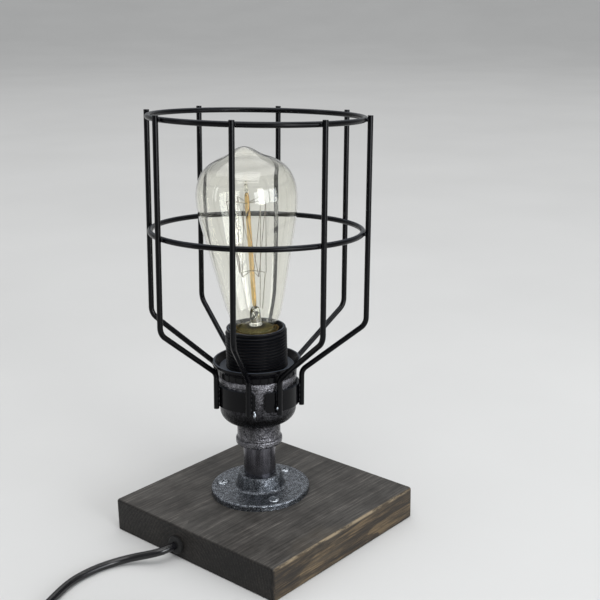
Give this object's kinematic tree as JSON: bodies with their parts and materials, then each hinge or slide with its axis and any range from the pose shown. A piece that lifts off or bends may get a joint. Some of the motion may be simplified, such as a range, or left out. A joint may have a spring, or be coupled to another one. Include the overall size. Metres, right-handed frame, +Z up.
{
  "type": "industrial pipe table lamp",
  "caption": "Table lamp of steel pipe fittings on a wooden block, with a bare screw-in filament bulb inside an open wire cage and a corded switch.",
  "frame": {"origin": "centre of the underside of the wooden base", "axes": "+Z up; X along the base's wood grain, with the cord leaving at -X; Y across it"},
  "size_m": [0.3076, 0.2457, 0.2786],
  "materials": {
    "stained_wood": "satin",
    "grey_cast_iron": "satin",
    "dark_cast_iron": "satin",
    "pipe_steel": "satin",
    "zinc_plated_steel": "satin",
    "black_painted_steel": "satin",
    "brass": "satin",
    "black_moulding": "satin",
    "black_rubber": "satin",
    "black_cord_sheath": "gloss",
    "black_switch_plastic": "gloss",
    "nickel": "polished",
    "bulb_cap_brass": "satin",
    "bulb_cap_glass": "gloss",
    "bulb_solder": "satin",
    "clear_glass": "polished",
    "stem_glass": "polished",
    "bulb_wire": "satin",
    "filament_carbon": "satin"
  },
  "bodies": {
    "lamp": {"wooden_base": "stained_wood", "floor_flange": "grey_cast_iron", "reducing_socket": "dark_cast_iron", "pipe_nipple": "pipe_steel", "flange_screws": "zinc_plated_steel", "terminal_screws": "zinc_plated_steel", "switch_screws": "zinc_plated_steel", "switch_axle": "zinc_plated_steel", "cage_band": "black_painted_steel", "cage_ring_middle": "black_painted_steel", "cage_ring_top": "black_painted_steel", "cage_rib_1": "black_painted_steel", "cage_rib_2": "black_painted_steel", "cage_rib_3": "black_painted_steel", "cage_rib_4": "black_painted_steel", "cage_rib_5": "black_painted_steel", "cage_rib_6": "black_painted_steel", "cage_rib_7": "black_painted_steel", "cage_rib_8": "black_painted_steel", "entry_bush": "brass", "entry_nipple": "brass", "centre_contact_spring": "brass", "side_contact": "brass", "thread_shell": "brass", "switch_contacts": "brass", "conductors": "brass", "holder_dome": "black_moulding", "holder_insert": "black_moulding", "holder_sleeve": "black_moulding", "cord_grommet": "black_rubber", "cord_tie": "black_rubber", "inner_cable": "black_cord_sheath", "cord_lamp_to_switch": "black_cord_sheath", "cord_switch_to_coil": "black_cord_sheath", "cord_coil": "black_cord_sheath", "cord_coil_to_plug": "black_cord_sheath", "switch_lower_half": "black_switch_plastic", "switch_upper_half": "black_switch_plastic", "plug_body": "black_switch_plastic", "plug_boot": "black_switch_plastic", "plug_pin_sleeves": "black_switch_plastic", "plug_pins": "nickel"},
    "bulb_contact": {"bulb_centre_contact": "bulb_solder"},
    "bulb": {"bulb_cap": "bulb_cap_brass", "bulb_cap_insulator": "bulb_cap_glass", "bulb_glass": "clear_glass", "bulb_stem": "stem_glass", "support_wires": "bulb_wire", "lead_wires": "bulb_wire", "filament": "filament_carbon"},
    "shade_ring": {"shade_ring": "black_moulding"},
    "rocker": {"switch_rocker": "black_switch_plastic"}
  },
  "joints": [
    {"name": "bulb_lift", "type": "slide", "parent": "lamp", "child": "bulb_contact", "axis": [0, 0, 1], "range_m": [0, 0.01452]},
    {"name": "bulb_turn", "type": "hinge", "parent": "bulb_contact", "child": "bulb", "pos_m": [0.0022, 0.0069, 0.1375], "axis": [0, 0, 1], "range_deg": [0, 1440]},
    {"name": "shade_ring_lift", "type": "slide", "parent": "lamp", "child": "shade_ring", "axis": [0, 0, 1], "range_m": [0, 0.02]},
    {"name": "switch_rock", "type": "hinge", "parent": "lamp", "child": "rocker", "pos_m": [-0.14669, -0.04419, 0.0132], "axis": [0.7771, 0.6293, 0], "range_deg": [0, 16]}
  ],
  "couplings": [
    {"joint": "bulb_turn", "follows": "bulb_lift", "rad_per_m": 1730.9}
  ]
}
